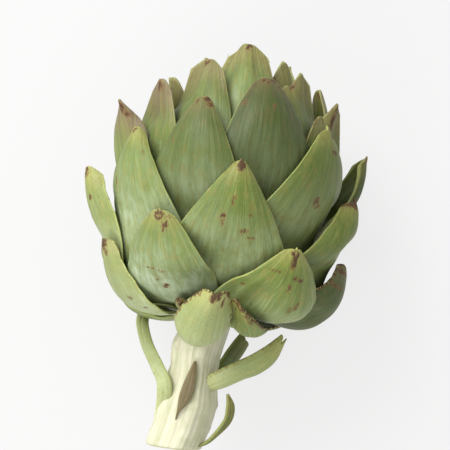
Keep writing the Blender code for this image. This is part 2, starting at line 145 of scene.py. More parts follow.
# Each tier from the lowest up: the bracts on its upper side, then the azimuths of those of the underside
TIERS = (
    (
        (bract(0, 21.4, 21, lean=1.0, fold=3.0, tip=3.4, turn=-13, bulge=4.0, belly=6.0),
         bract(-20, 13.5, 7, lean=2.0, fold=0.8, tip=0.5, bulge=2.5),
         bract(12, 16.5, 29, lean=1.0, fold=0.8, tip=0.6, turn=7, bulge=2.0, taper=1.3, belly=2.5)),
        (138, 188, 240),
    ),
    (
        (bract(34, 38.5, 46, tip=2.4, turn=-2, taper=1.75, belly=4.0),
         bract(-68, 33.5, 36, fold=3.0, tip=2.6, bulge=-0.8),
         bract(85, 34.5, 46, lean=-1.5, turn=12, bulge=3.8, belly=4.2)),
        (147, 203, 255),
    ),
    (
        (bract(-29.5, 46.5, 41, tip=3.4, turn=2),
         bract(73.5, 57.5, 53, fold=2.4, tip=2.4, bulge=6.0, taper=1.7, belly=4.0),
         bract(-83, 58, 34, lean=6.4, fold=5.0, tip=3.0, bulge=2.5)),
        (123, 182, 225),
    ),
    (
        (bract(4, 66.5, 53, tip=2.0, turn=-2, taper=1.4),
         bract(-56, 75, 52, fold=2.6, tip=2.0, turn=5),
         bract(108, 70.5, 38, lean=8.0, fold=2.2, bulge=6.6, taper=1.0, belly=6.0)),
        (148, 197, 244),
    ),
    (
        (bract(56, 82, 74, tip=2.6, turn=-8, taper=1.6),
         bract(-20.5, 88, 47, tip=2.4, turn=2, taper=1.6),
         bract(-71, 80.5, 42, lean=6.4, fold=4.0, tip=4.0, bulge=2.6, taper=2.3)),
        (125, 172, 220),
    ),
    (
        (bract(19, 97.5, 44, tip=4.2),
         bract(64, 88.8, 44, lean=5.0, tip=4.2, taper=2.4),
         bract(-60, 92.3, 45, lean=1.6, fold=2.6, tip=4.6, taper=2.5),
         bract(104, 96.5, 38, lean=2.0, tip=3.5)),
        (148, 197, 232),
    ),
    (
        (bract(-34, 102.4, 56, tip=4.6, taper=2.3),
         bract(46, 99.5, 46, lean=2.5, tip=4.6, taper=2.4),
         bract(-98, 91, 40, lean=-5.0)),
        (122, 168, 214),
    ),
    (
        (bract(5, 110, 46, tip=5.0, taper=2.2),
         bract(-60, 98.5, 46, tip=4.2, taper=2.4),
         bract(44, 107.0, 44, tip=4.6, taper=2.4)),
        (110, 168, 230),
    ),
    (
        (bract(27, 111.3, 36, tip=4.0, taper=2.3),
         bract(-40, 107.5, 38, tip=4.0, taper=2.3)),
        (125, 222),
    ),
)

# The random spread of the bracts of the underside, in degrees and millimetres
SPREAD_AZIMUTH = 4.0
SPREAD_HEIGHT = 1.0
SPREAD_WIDTH = 2.0
SPREAD_TURN = 5.0

Leaf = namedtuple("Leaf", "route widths hollow thickness facing")

# The small leaves of the stem: the route of the rib in the head's frame, the widths along it, how hollow
# and how thick each is, and the way it faces
STEM_LEAVES = {
    "stem_leaf_left": Leaf(
        ((-14.6, -17.5, 9.4), (-18.4, -11.3, 3.5), (-23.2, -4.6, -6.0), (-26.2, 2.0, -15.0),
         (-26.7, 7.0, -21.0)),
        (5.8, 5.4, 5.2, 4.8), 0.6, 1.6, (-0.1, -0.3, 0.95)),
    "stem_leaf_right": Leaf(
        ((5.4, -13.8, 7.0), (12.0, -9.6, 9.0), (17.8, -6.2, 10.5), (22.7, -1.6, 11.5), (27.2, 5.6, 11.5)),
        (8.0, 8.4, 9.2, 2.6), 1.6, 1.5, (0.25, -0.4, 0.9)),
    "stem_leaf_low": Leaf(
        ((3.2, -37.0, 4.0), (6.3, -33.6, 5.0), (10.1, -27.8, 5.5), (10.6, -22.6, 5.0), (8.9, -17.8, 4.5)),
        (1.6, 2.4, 4.4, 0.9), 0.5, 1.2, (0.4, -0.2, 0.9)),
    "stem_leaf_front": Leaf(
        ((-8.4, -26.0, 11.8), (-6.6, -20.5, 12.2), (-5.3, -14.0, 11.2), (-4.4, -7.0, 10.4)),
        (1.2, 4.4, 4.0, 1.0), 0.4, 1.2, (-0.05, 0.0, 1.0)),
    "stem_leaf_behind": Leaf(
        ((6.4, -9.5, -3.5), (8.9, -5.5, -7.0), (11.2, -1.8, -10.0), (13.4, 2.0, -13.0)),
        (7.4, 7.6, 7.6, 6.6), 0.7, 1.5, (0.3, -0.4, 0.85)),
}
LEAF_EDGE_THINNING = 0.35

# Where the model's origin lies in the laid head's frame: under the middle of the solids' box
BOX_MIDDLE = (-1.1437, 33.9533)

# The fine grids: columns and rows of a bract on the side that the photograph shows, of one on the far side
# and of a stem leaf, and how much closer together the points lie at the edges and at the tip
FINE_GRID = (41, 61)
PLAIN_GRID = (27, 39)
LEAF_FINE_GRID = (21, 49)
EDGE_CROWDING = 1.35
TIP_CROWDING = 1.4
STEM_FINE_SIDES = 96
STEM_FINE_RINGS = 72

# How far out the rings of the cut face lie, as shares of its radius
CUT_SHARES = (0.04, 0.12, 0.2, 0.3, 0.4, 0.5, 0.58, 0.66, 0.74, 0.81, 0.87, 0.91, 0.94)

# Millimetres over which a bract's rim is rounded, and the share of its thickness left at the rim itself
RIM = 0.7
RIM_SHARE = 0.3

# The relief of a bract, in millimetres: how far its free edges wave in and out, the height and width of its
# rib, and its fine ridges: the radians that each kind's sine runs through from rib to edge, and its height
WAVE = 0.22
RIB_HEIGHT = 0.28
RIB_WIDTH = 1.1
RIDGES = ((19, 0.05), (31, 0.04))

# The relief of the stem: its fine ribs, each kind with its number round the stem, its height in millimetres,
# where it starts and how it slants, then how deep the pith and the ring of vessels lie in the cut face
STEM_FINE_RIBS = ((11, 0.16, 0.6, 0.02), (23, 0.09, 0.0, 0.03))
PITH_DEPTH = 0.35
VESSEL_DEPTH = 0.12

Look = namedtuple("Look", "tone bloom purple rim_brown")


def look(tone=0.0, bloom=0.5, purple=0.0, rim_brown=0.0):
    """How dark a bract is, how bloomed, how purple its tip and how brown its rim.

    0 is not at all and 1 is fully so. Below 0 the darkness makes the bract paler, and a bloom above 1
    spreads the bloom further over it. Where it darkens a bract on the shaded side of the head, it is painted
    shade as well as colour.
    """
    return Look(tone, bloom, purple, rim_brown)


# The looks of the bracts on the side that the photograph shows, by number
# Their darkness is the bracts' own colour, and on the bracts of the head's right, away from the lights (9
# and 21 above all), it is also painted shade
LOOKS = {
    1: look(-0.38, 1.1, 0.0, 0.7),
    2: look(-0.1, 0.6, 0.25, 0.9),
    3: look(0.1, 0.5, 0.0, 0.9),
    4: look(0.5, 0.5, 0.0, 0.6),
    7: look(0.05, 0.3, 0.0, 0.15),
    8: look(-0.25, 0.9, 0.15, 0.25),
    9: look(1.0, 0.1, 0.1, 0.8),
    13: look(0.2, 1.6, 0.0, 0.2),
    14: look(0.4, 0.2, 0.0, 0.2),
    15: look(-0.2, 0.6, 0.0, 0.1),
    19: look(0.28, 0.5, 0.0, 0.0),
    20: look(0.1, 0.9, 0.0, 0.1),
    21: look(1.0, 0.1, 0.0, 0.2),
    25: look(0.5, 0.2, 0.0, 0.0),
    26: look(0.7, 0.5, 0.2, 0.0),
    27: look(-0.1, 0.5, 0.8, 0.1),
    31: look(1.0, 0.3, 0.25, 0.0),
    32: look(0.5, 0.3, 0.3, 0.4),
    33: look(0.1, 0.6, 0.75, 0.1),
    34: look(0.6, 0.4, 0.3, 0.1),
    38: look(0.3, 0.9, 0.45, 0.0),
    39: look(0.5, 0.6, 0.3, 0.0),
    40: look(0.4, 0.4, 0.3, 0.1),
    44: look(0.0, 0.9, 0.4, 0.0),
    45: look(0.3, 0.8, 0.4, 0.1),
    46: look(0.4, 0.7, 0.3, 0.0),
    50: look(0.3, 0.9, 0.4, 0.1),
    51: look(0.3, 0.9, 0.4, 0.1),
}

# The look of every bract on the far side, and the mark at the tip of every bract that isn't listed below
FAR_LOOK = look(0.15, 0.5, 0.2, 0.1)
TIP_MARK = ((0, 1.3, 1.1, 1.3, 0.8),)

# Brown marks by bract: across from the rib and down from the tip to the mark's middle, half its width, half
# its height, all in millimetres, and its strength
MARKS = {
    1: ((0.6, 1.6, 1.6, 1.8, 1.0), (-5, 3.0, 1.5, 1.0, 0.6), (3.5, 4.5, 0.8, 2.5, 0.5)),
    2: ((0, 1.5, 1.2, 2.5, 0.7),),
    3: ((3.5, 3.0, 1.5, 3.0, 0.8), (0, 1.0, 1.0, 1.5, 0.7), (5.0, 6.5, 1.2, 2.5, 0.7)),
    4: ((0, 1.5, 6.0, 1.2, 0.5),),
    7: (
        (-0.2, 2.0, 1.3, 1.5, 1.0), (-0.2, 4.8, 0.9, 2.4, 0.9), (1.8, 10.5, 0.9, 0.9, 0.9),
        (3.2, 10.8, 0.9, 0.8, 0.8), (4.8, 11.3, 0.9, 0.9, 0.9), (0.6, 14.5, 0.8, 2.6, 0.7),
        (-6, 9.0, 2.6, 0.8, 0.5), (-15, 19, 1.6, 1.4, 0.5), (7.5, 22, 1.0, 2.2, 0.7),
        (5.5, 24, 1.0, 2.0, 0.6),
    ),
    8: (
        (-0.3, 1.8, 2.2, 2.2, 1.2), (1.8, 5.0, 1.2, 2.0, 0.6), (8.0, 24, 2.6, 1.4, 0.6),
        (12, 30, 3, 1, 0.5),
    ),
    9: ((-5, 3, 5, 1.2, 0.8), (-9, 9, 5, 1.0, 0.7), (6, 8, 6, 1.2, 0.7), (10, 16, 2, 4, 0.8)),
    13: (
        (0.2, 1.6, 1.5, 1.8, 1.0), (2.4, 5.6, 1.5, 2.4, 0.8), (0, 30.5, 1.6, 1.3, 1.0),
        (-3, 27.5, 0.9, 1.0, 0.8), (-4, 22, 4.5, 0.7, 0.5), (1, 23, 3.2, 0.7, 0.45),
        (3.6, 2.0, 1.6, 1.0, 0.5),
    ),
    14: (
        (-0.6, 0.9, 2.4, 1.6, 1.6), (2.0, 2.2, 1.0, 1.4, 0.9), (-2, 17, 0.9, 2.0, 0.7),
        (-5, 24, 1.3, 1.2, 0.8),
    ),
    15: ((0.6, 1.8, 1.0, 1.8, 0.9), (3.0, 10, 0.9, 0.9, 0.9), (-1.5, 17, 2.0, 0.6, 0.6)),
    19: (
        (0.2, 1.7, 1.2, 1.5, 1.2), (-0.6, 14, 0.8, 2.2, 0.6), (-3.5, 20, 1.1, 1.4, 0.9),
        (-3.4, 22.8, 0.9, 1.0, 0.8), (5.8, 18.6, 0.9, 1.0, 0.8), (4.6, 24.4, 2.0, 1.0, 0.7),
        (8.0, 27, 2.6, 0.8, 0.55),
    ),
    20: (
        (0, 1.6, 1.0, 1.6, 0.6), (-8, 20, 0.9, 4.5, 0.6), (-8.5, 28, 0.8, 4.0, 0.5),
        (7, 9, 0.8, 1.2, 0.5),
    ),
    21: ((0, 1.0, 1.2, 1.2, 0.9),),
    25: (
        (1.6, 2.0, 1.2, 1.4, 1.2), (0.2, 8.5, 0.9, 1.0, 1.0), (1.8, 8.8, 0.9, 1.0, 1.0),
        (-5.5, 26.5, 1.5, 1.6, 1.1), (-4, 28, 1.0, 0.9, 0.9),
    ),
    26: (
        (1.5, 1.4, 1.2, 1.0, 1.2), (2.6, 3.0, 1.1, 1.2, 0.9), (-1.2, 2.8, 0.7, 2.2, 0.7),
        (-9, 17, 1.0, 1.0, 0.6),
    ),
    31: (
        (-1.8, 2.0, 1.2, 1.2, 0.9), (1.4, 1.6, 1.2, 1.1, 1.0), (3.6, 3.6, 1.0, 1.1, 0.9),
        (-0.7, 3.0, 0.8, 1.0, 0.8), (-9, 9.4, 0.9, 1.4, 0.8), (0.8, 13, 0.9, 1.2, 0.7),
    ),
    32: ((2.5, 3.0, 1.2, 3.0, 0.9), (4.0, 8.0, 1.0, 2.6, 0.8)),
    33: ((0, 1.2, 1.8, 1.2, 0.7),),
}

# The spines at the tips of a few bracts, in millimetres
SPINES = {7: 0.5, 13: 0.4, 14: 1.6, 19: 0.6, 21: 0.9, 25: 1.5}

# How each stem leaf runs on into the stem: points ahead of its route, each with the leaf's width there,
# and how deep its tip is split
LEAF_ROOTS = {
    "stem_leaf_left": ((((-15.2, -34.0, 2.6), 2.6), ((-14.3, -26.0, 5.6), 5.0)), 0.0),
    "stem_leaf_right": ((((0.2, -16.6, 5.0), 6.4),), 3.0),
    "stem_leaf_low": ((((-0.6, -38.8, 3.0), 1.4),), 0.4),
    "stem_leaf_front": ((((-8.9, -29.5, 9.6), 0.8),), 0.0),
    "stem_leaf_behind": ((((1.6, -12.6, -3.0), 6.4),), 0.5),
}

# The looks of the stem leaves, with how stained each is first
LEAF_LOOKS = {
    "stem_leaf_left": (0.0, -0.4, 0.9, 0.0, 0.0),
    "stem_leaf_right": (0.1, -0.3, 0.5, 0.0, 0.3),
    "stem_leaf_low": (0.2, 0.3, 0.3, 0.2, 0.2),
    "stem_leaf_front": (0.2, -0.2, 0.1, 0.75, 0.0),
    "stem_leaf_behind": (0.0, 0.7, 0.1, 0.0, 0.0),
}

# How much a stem leaf pales towards its root
ROOT_PALENESS = 0.6

# Colours as linear red, green and blue
YOUNG_TIP = (0.31, 0.31, 0.070)
LEAF_GREEN = (0.160, 0.220, 0.034)
PALE_GREEN = (0.27, 0.335, 0.120)
BLOOM = (0.43, 0.51, 0.33)
OLIVE = (0.24, 0.235, 0.050)
MARGIN = (0.46, 0.50, 0.16)
RUST = (0.190, 0.096, 0.030)
BROWN = (0.070, 0.036, 0.015)
PURPLE = (0.150, 0.085, 0.072)
CREAM = (0.54, 0.56, 0.26)
STEM_PALE = (0.66, 0.63, 0.47)
STEM_GREEN = (0.45, 0.46, 0.27)
CUT_CREAM = (0.62, 0.60, 0.40)
VEIN_GREEN = (0.46, 0.48, 0.22)
FLOOR_COLOUR = (0.12, 0.12, 0.118)

# What the leaf's colour is multiplied by where it is mottled, on its veins and where it is darkened; that
# darkening is partly painted shade
MOTTLE_SHADE = (0.68, 0.74, 0.72)
VEIN_SHADE = (0.60, 0.64, 0.52)
TONE_SHADE = (0.36, 0.38, 0.33)

# The light: the strength of the world and of the floor's own glow, then the soft lights with their places
# from the picture's middle, in metres, and their power
WORLD_LIGHT = 0.72
FLOOR_GLOW = 0.74
LIGHTS = (("key", (-0.62, 0.55, 0.78), 13.0), ("fill", (-0.45, -0.75, 0.60), 5.0))
LIGHT_SIZE = 0.8

# Half the side of the floor, in metres
FLOOR_HALF = 2.0

# The picture: millimetres to a picture element and elements across, then the camera: where it looks in the
# head's frame, its distance in metres, its roll in degrees and the width of its sensor in millimetres
PIXEL = 0.37
PICTURE = 450
LOOK_AT = (0.3, 43.6, 0.0)
CAMERA_DISTANCE = 0.7
CAMERA_ROLL = 7.0
SENSOR = 36.0


def profile_radius(height):
    """The head's radius at a height above the stem junction."""
    below = np.clip((WIDEST_AT - height) / (WIDEST_AT - HEAD_BOTTOM), 0, 1)
    above = np.clip((height - WIDEST_AT) / (HEAD_TOP - WIDEST_AT), 0, 1)
    base = (1 - below ** BASE_POWERS[0]) ** BASE_POWERS[1]
    crown = (1 - above ** CROWN_POWERS[0]) ** CROWN_POWERS[1]
    return HEAD_RADIUS * base * crown


def head_profile():
    """Polar angle, distance from the middle and length along the profile, from the stem to the crown."""
    turn = np.linspace(0, math.pi, 1601)
    height = np.where(
        turn < math.pi / 2,
        WIDEST_AT - (WIDEST_AT - HEAD_BOTTOM) * np.cos(turn),
        WIDEST_AT - (HEAD_TOP - WIDEST_AT) * np.cos(turn),
    )
    radius = profile_radius(height)
    angle = np.degrees(np.arctan2(radius, WIDEST_AT - height))
    reach = np.hypot(radius, WIDEST_AT - height)
    steps = np.hypot(np.diff(radius), np.diff(height))
    return angle, reach, np.concatenate([[0], np.cumsum(steps)])


PROFILE_ANGLE, PROFILE_REACH, PROFILE_LENGTH = head_profile()


def envelope(angle):
    """Distance from the middle to the head's outer surface at a polar angle in degrees."""
    return np.interp(angle, PROFILE_ANGLE, PROFILE_REACH)


def length_at(angle):
    return np.interp(angle, PROFILE_ANGLE, PROFILE_LENGTH)


def angle_at(length):
    return np.interp(length, PROFILE_LENGTH, PROFILE_ANGLE)


def root_reach(angle):
    """Distance from the middle to the surface that the bracts' bases stand on."""
    return envelope(angle) - ROOT_DEPTH - ROOT_SLOPE * np.maximum(angle - HEART_ANGLES[0], 0)


def direction(angle, azimuth):
    """The unit vector at a polar angle and an azimuth in degrees, on the last axis of the array."""
    a, z = np.radians(angle), np.radians(azimuth)
    a, z = np.broadcast_arrays(a, z)
    return np.stack([np.sin(a) * np.sin(z), -np.cos(a), np.sin(a) * np.cos(z)], axis=-1)


def sideways(azimuth):
    z = np.radians(azimuth)
    return np.stack([np.cos(z), np.zeros_like(z), -np.sin(z)], axis=-1)


def polar_angle(way):
    return np.degrees(np.arccos(np.clip(-way[..., 1], -1, 1)))


class Cover:
    """How far in the bracts laid so far reach in every direction from the middle, in small cells."""

    CELL = 0.02
    NOTHING = 1000.0

    def __init__(self):
        self.half = int(1 / self.CELL) + 2
        self.reach = np.full([2 * self.half + 1] * 3, self.NOTHING)

    def cells(self, points):
        offset = points - MIDDLE
        reach = np.linalg.norm(offset, axis=-1)
        index = np.rint(offset / reach[..., None] / self.CELL).astype(int) + self.half
        return (index[..., 0], index[..., 1], index[..., 2]), reach

    def add(self, points):
        index, reach = self.cells(points)
        np.minimum.at(self.reach, index, reach)

    def over(self, points):
        """The least reach of anything laid near each point's direction, and the point's own reach."""
        wide = self.reach
        for axis in range(3):
            wide = np.minimum(wide, np.minimum(np.roll(wide, 1, axis), np.roll(wide, -1, axis)))
        index, reach = self.cells(points)
        return wide[index], reach


def bract_angles(b):
    """Polar angles of a bract's tip and of its base."""
    height = b.tip_height
    tip = float(np.degrees(np.arctan2(profile_radius(height), WIDEST_AT - height)))
    lowest, highest = BASE_ANGLES
    share = np.clip((tip - TIP_ANGLES[0]) / (TIP_ANGLES[1] - TIP_ANGLES[0]), 0, 1) ** BASE_POWER
    return tip, lowest + (highest - lowest) * share


def half_width(b, down, length):
    """Half the width at a distance below the tip."""
    widest = min(WIDEST_BELOW * b.width, WIDEST_SHARE * length)
    upper = 1 - (1 - np.clip(down / widest, 0, 1)) ** b.taper
    lower = np.clip((down - widest) / (length - widest), 0, 1) ** NARROWING_POWER
    return (b.tip + (b.width / 2 - b.tip) * upper) * (1 - BASE_NARROWING * lower)


def tip_drop(b, across):
    """How far the tip's edge lies below its top: rounded corners and a notch at the rib."""
    corner = 1 - np.sqrt(1 - CORNER_SHARE * across**2)
    notch = NOTCH_DEPTH * np.exp(-((across / NOTCH_WIDTH) ** 2))
    return b.tip * corner + notch


def wished_surface(b, across, along):
    """The middle surface of a bract before it is laid on the others.

    across runs from -1 to 1 and along from 0 at the base to 1 at the tip. It gives the points and the
    directions from the middle in which they lie.
    """
    tip_angle, base_angle = bract_angles(b)
    top = length_at(tip_angle)
    length = top - length_at(base_angle)
    down = length * (1 - along) + along**TIP_POWER * tip_drop(b, across)
    angle = angle_at(top - down)
    azimuth = b.azimuth + b.turn * (1 - along)
    reach = envelope(angle)
    swing = across * half_width(b, down, length) / reach
    way = (
        np.cos(swing)[..., None] * direction(angle, azimuth)
        + np.sin(swing)[..., None] * sideways(azimuth)
    )
    rise = np.clip(1 - down / (RISE_SHARE * length), 0, 1)
    stacked = envelope(polar_angle(way)) - LAYER_SLOPE * (tip_angle - angle)
    swollen = b.bulge * np.exp(-(((down - SWELL_BELOW) / SWELL_SPREAD) ** 2))
    swollen += b.belly * np.exp(-(((along - BELLY_AT) / BELLY_SPREAD) ** 2))
    folded = b.fold * np.abs(across) ** FOLD_POWER * rise**FOLD_RISE_POWER
    outer = stacked + swollen * (1 - across**2) - folded + b.lean * rise**LEAN_POWER
    rooted = root_reach(polar_angle(way)) + GAP + BRACT_THICKNESS[0] / 2
    hold = np.clip(1 - along / BASE_SHARE, 0, 1) ** 2
    reach = outer * (1 - hold) + rooted * hold
    return MIDDLE + reach[..., None] * way, way


def thickness(across, along):
    base, middle, tip = BRACT_THICKNESS
    rib = np.interp(along, (0, 0.4, 1), (base, middle, tip))
    return rib * (1 - EDGE_THINNING * np.abs(across) ** 3)


def grid_normals(points):
    """Unit normals of a grid of points, facing away from the head's middle."""
    along = np.gradient(points, axis=0)
    across = np.gradient(points, axis=1)
    normal = np.cross(across, along)
    return normal / np.linalg.norm(normal, axis=-1, keepdims=True)


def refined(grid, times):
    """A grid of values with straight steps between its points."""
    rows, columns = grid.shape[:2]
    at_row = np.linspace(0, rows - 1, (rows - 1) * times + 1)
    at_column = np.linspace(0, columns - 1, (columns - 1) * times + 1)
    r = np.minimum(at_row.astype(int), rows - 2)
    c = np.minimum(at_column.astype(int), columns - 2)
    fr = (at_row - r).reshape(-1, 1, *[1] * (grid.ndim - 2))
    fc = (at_column - c).reshape(1, -1, *[1] * (grid.ndim - 2))
    low = grid[r][:, c] * (1 - fc) + grid[r][:, c + 1] * fc
    high = grid[r + 1][:, c] * (1 - fc) + grid[r + 1][:, c + 1] * fc
    return low * (1 - fr) + high * fr


def highest_near(values, times, rows, columns):
    """For each point of the coarse grid, the highest of the fine values up to one coarse step away."""
    padded = np.pad(values, times, constant_values=-1e9)
    found = np.empty((rows, columns))
    for i in range(rows):
        for j in range(columns):
            found[i, j] = padded[
                i * times : i * times + 2 * times + 1, j * times : j * times + 2 * times + 1
            ].max()
    return found


def blurred(values):
    """Each value mixed with its four neighbours."""
    p = np.pad(values, 1, mode="edge")
    return 0.5 * values + 0.125 * (p[:-2, 1:-1] + p[2:, 1:-1] + p[1:-1, :-2] + p[1:-1, 2:])


def below_floor(points, way):
    """How far points reach through the floor along the ways from the middle."""
    down = direction(90 - REST_PITCH, 180)
    return ((points - MIDDLE) @ down - FLOOR_DEPTH) / np.maximum(way @ down, 0.1)


def laid_push(b, cover, grid):
    """How far each point of a bract's coarse grid is pushed in, to lie under the cover and on the floor."""
    columns, rows = grid
    across, along = np.meshgrid(
        np.linspace(-1, 1, columns), 1 - (1 - np.linspace(0, 1, rows)) ** ROW_POWER
    )
    wished, way = wished_surface(b, across, along)
    thick = thickness(across, along)[..., None]
    outer = wished + grid_normals(wished) * thick / 2
    limit, own = cover.over(refined(outer, DENSE))
    needed = highest_near(own + GAP - limit, DENSE, rows, columns)
    needed = np.maximum(needed, below_floor(outer, way))
    push = np.maximum(needed, 0)
    for _ in range(PUSH_ROUNDS):
        push = np.maximum(needed, blurred(push))
        push[-1] = np.maximum(needed[-1], 0)
    laid = wished - push[..., None] * way
    cover.add(refined(laid - grid_normals(laid) * thick / 2, 2 * DENSE))
    return push


def smooth_at(values, places):
    """Values on the smooth curve through equally spaced ones, along the first axis."""
    p = np.concatenate([2 * values[:1] - values[1:2], values, 2 * values[-1:] - values[-2:-1]])
    i = np.minimum(places.astype(int), len(values) - 2)
    t = (places - i).reshape(-1, *[1] * (values.ndim - 1))
    a, b, c, d = p[i], p[i + 1], p[i + 2], p[i + 3]
    return 0.5 * (
        2 * b + (c - a) * t + (2 * a - 5 * b + 4 * c - d) * t**2 + (3 * b - a - 3 * c + d) * t**3
    )


def fine_steps(columns, rows):
    """Places across a blade, closer together at its edges, and along it, closer at its tip."""
    s = np.linspace(-1, 1, columns)
    across = np.sign(s) * (1 - (1 - np.abs(s)) ** EDGE_CROWDING)
    share = 1 - (1 - np.linspace(0, 1, rows)) ** TIP_CROWDING
    return across, share


def rim_distance(b, across, along):
    """Millimetres from each point to the bract's nearer side edge or its tip, and down from the tip."""
    tip_angle, base_angle = bract_angles(b)
    length = length_at(tip_angle) - length_at(base_angle)
    down = length * (1 - along)
    side = (1 - np.abs(across)) * half_width(b, down, length)
    return np.minimum(side, down), down, half_width(b, down, length)


def rounded_off(distance):
    """The share of its thickness that a blade has at a distance from its rim."""
    near = np.clip(1 - distance / RIM, 0, 1)
    return RIM_SHARE + (1 - RIM_SHARE) * np.sqrt(1 - near**2)


def fine_bract(b, push, grid, spine, random):
    """Outer and inner faces of a detailed bract, and the values that its paint reads."""
    steps, share = fine_steps(*grid)
    rows, columns = push.shape
    push = smooth_at(push, share * (rows - 1))
    push = smooth_at(push.T, (steps + 1) / 2 * (columns - 1)).T
    across, along = np.meshgrid(steps, 1 - (1 - share) ** ROW_POWER)
    wished, way = wished_surface(b, across, along)
    laid = wished - np.maximum(push, 0)[..., None] * way
    rim, down, half = rim_distance(b, across, along)
    girth = across * half
    free = np.clip(1 - push / 2, 0, 1) * np.exp(-rim / 2.5) * np.clip(down / 4, 0, 1)
    phase = random.uniform(0, 2 * math.pi, 4)
    wave = np.sin(down * 0.42 + phase[0] + across) + 0.6 * np.sin(down * 0.95 + phase[1] - 2 * across)
    ridges = sum(
        height * np.sin(across * radians + start) for (radians, height), start in zip(RIDGES, phase[2:])
    )
    rib = RIB_HEIGHT * np.exp(-((girth / RIB_WIDTH) ** 2))
    rib *= np.clip(1 - down / 16, 0, 1) * np.clip(down / 3, 0, 1)
    lift = WAVE * wave * free + ridges * np.clip(rim / 2, 0, 1) + rib
    laid = laid + lift[..., None] * way
    if spine:
        tip_way = laid[-1] - laid[-4]
        tip_way /= np.linalg.norm(tip_way, axis=-1, keepdims=True)
        drawn = (NOTCH_DEPTH + spine) * np.exp(-((girth / 0.4) ** 2)) * np.clip(1 - down / 1.5, 0, 1)
        laid = laid + drawn[..., None] * tip_way
    normal = grid_normals(laid)
    thick = (thickness(across, along) * rounded_off(rim))[..., None]
    values = {"across": across, "girth": girth, "down": down, "rim": rim}
    return laid + normal * thick / 2, laid - normal * thick / 2, values


def all_bracts():
    """Every bract in the order of laying: tier by tier from the stem to the crown."""
    random = np.random.default_rng(SEED)
    found = []
    for upper, azimuths in TIERS:
        found += upper
        tip_height = np.mean([b.tip_height for b in upper])
        width = np.mean([b.width for b in upper])
        for azimuth in azimuths:
            spread = random.uniform(-1, 1, 4)
            found.append(
                bract(
                    azimuth + spread[0] * SPREAD_AZIMUTH,
                    tip_height + spread[1] * SPREAD_HEIGHT,
                    width + spread[2] * SPREAD_WIDTH,
                    turn=spread[3] * SPREAD_TURN,
                )
            )
    return found


def marks_at(number, girth, down):
    """How strongly the marks of a bract stain each of its points."""
    found = np.zeros_like(girth)
    for x, y, wide, high, strength in MARKS.get(number, TIP_MARK):
        near = ((girth - x) / wide) ** 2 + ((down - y) / high) ** 2
        found = np.maximum(found, strength * np.exp(-near))
    return found


def lay_up():
    """Every bract's faces and paint values, the lowest first, and the cover they leave for the heart."""
    cover = Cover()
    random = np.random.default_rng(SEED + 1)
    laid = []
    for number, b in enumerate(all_bracts(), start=1):
        push = laid_push(b, cover, SMALL_GRID if b.width < SMALL_WIDTH else BRACT_GRID)
        grid = FINE_GRID if number in LOOKS else PLAIN_GRID
        outer, inner, values = fine_bract(b, push, grid, SPINES.get(number, 0), random)
        tone, bloom, purple, rim_brown = LOOKS.get(number, FAR_LOOK)
        ones = np.ones_like(values["down"])
        values["brown"] = marks_at(number, values["girth"], values["down"])
        values["tone"] = tone * ones
        values["bloom"] = bloom * ones
        values["purple"] = purple * np.exp(-((values["down"] / 9) ** 2))
        values["rim_brown"] = rim_brown * ones
        values["seed"] = random.uniform(0, 100) * ones
        laid.append((outer, inner, values))
    return laid, cover


def stem_centre(height):
    """The middle of the bent stem at a height above its junction with the head."""
    heights, places = zip(*STEM_CENTRES)
    return np.array([np.interp(height, heights, places), height, 0.0])


def stem_ring(height, sides):
    heights, radii = zip(*STEM_RADII)
    radius = np.interp(height, heights, radii)
    turn = np.linspace(0, 2 * math.pi, sides, endpoint=False)
    ribbed = radius + STEM_RIB_HEIGHT * np.cos(STEM_RIBS * turn)
    around = np.stack([np.cos(turn), np.zeros(sides), np.sin(turn)], axis=-1)
    return stem_centre(height) + ribbed[:, None] * around


def heart_ring(angle, step, cover):
    """A ring of the heart, at each point as wide as the bracts leave room for round about it."""
    azimuth = 90 - np.linspace(0, 360, RING_SIDES, endpoint=False)
    near_angle = np.linspace(angle - step, angle + step, HEART_PROBES[0])[:, None, None]
    near_azimuth = azimuth[:, None] + np.linspace(-360, 360, HEART_PROBES[1]) / RING_SIDES
    limit, _ = cover.over(MIDDLE + direction(near_angle, near_azimuth))
    reach = np.minimum(limit.min(axis=(0, 2)) - GAP, envelope(angle) - ROOT_DEPTH)
    if angle < BASE_ANGLES[1]:
        reach = np.minimum(reach, root_reach(angle))
    return MIDDLE + reach[:, None] * direction(angle, azimuth)


def fine_stem_ring(height):
    """A ring of the stem with its fine ribs, and the values that its paint reads."""
    ring = stem_ring(height, STEM_FINE_SIDES)
    centre = stem_centre(height)
    turn = np.linspace(0, 2 * math.pi, STEM_FINE_SIDES, endpoint=False)
    ribs = sum(
        high * np.sin(count * turn + start + slant * height)
        for count, high, start, slant in STEM_FINE_RIBS
    )
    knobs = 0.08 * np.sin(height * 0.55 + 3 * turn) + 0.06 * np.sin(height * 1.3 - 5 * turn)
    out = (ring - centre) / np.linalg.norm(ring - centre, axis=1, keepdims=True)
    return ring + (ribs + knobs)[:, None] * out


def wound(ring):
    """A coarse ring with as many points as the stem's fine ones, on a smooth closed curve through them."""
    closed = np.concatenate([ring[-2:], ring, ring[:3]])
    return smooth_at(closed, 2 + np.arange(STEM_FINE_SIDES) * len(ring) / STEM_FINE_SIDES)


def cut_rings():
    """Rings of the cut end, from its middle out to the bevel: a soft sunken pith and a torn edge."""
    cut = -STEM_LENGTH
    edge, centre = fine_stem_ring(cut), stem_centre(cut)
    turn = np.linspace(0, 2 * math.pi, STEM_FINE_SIDES, endpoint=False)
    found = []
    for share in CUT_SHARES:
        ring = centre + (edge - centre) * share
        sunk = PITH_DEPTH * math.exp(-((share / 0.42) ** 2))
        sunk += VESSEL_DEPTH * math.exp(-(((share - 0.8) / 0.06) ** 2))
        grain = 0.05 * np.sin(7 * turn + 9 * share) * share
        ring[:, 1] += sunk + grain
        found.append(ring)
    return found


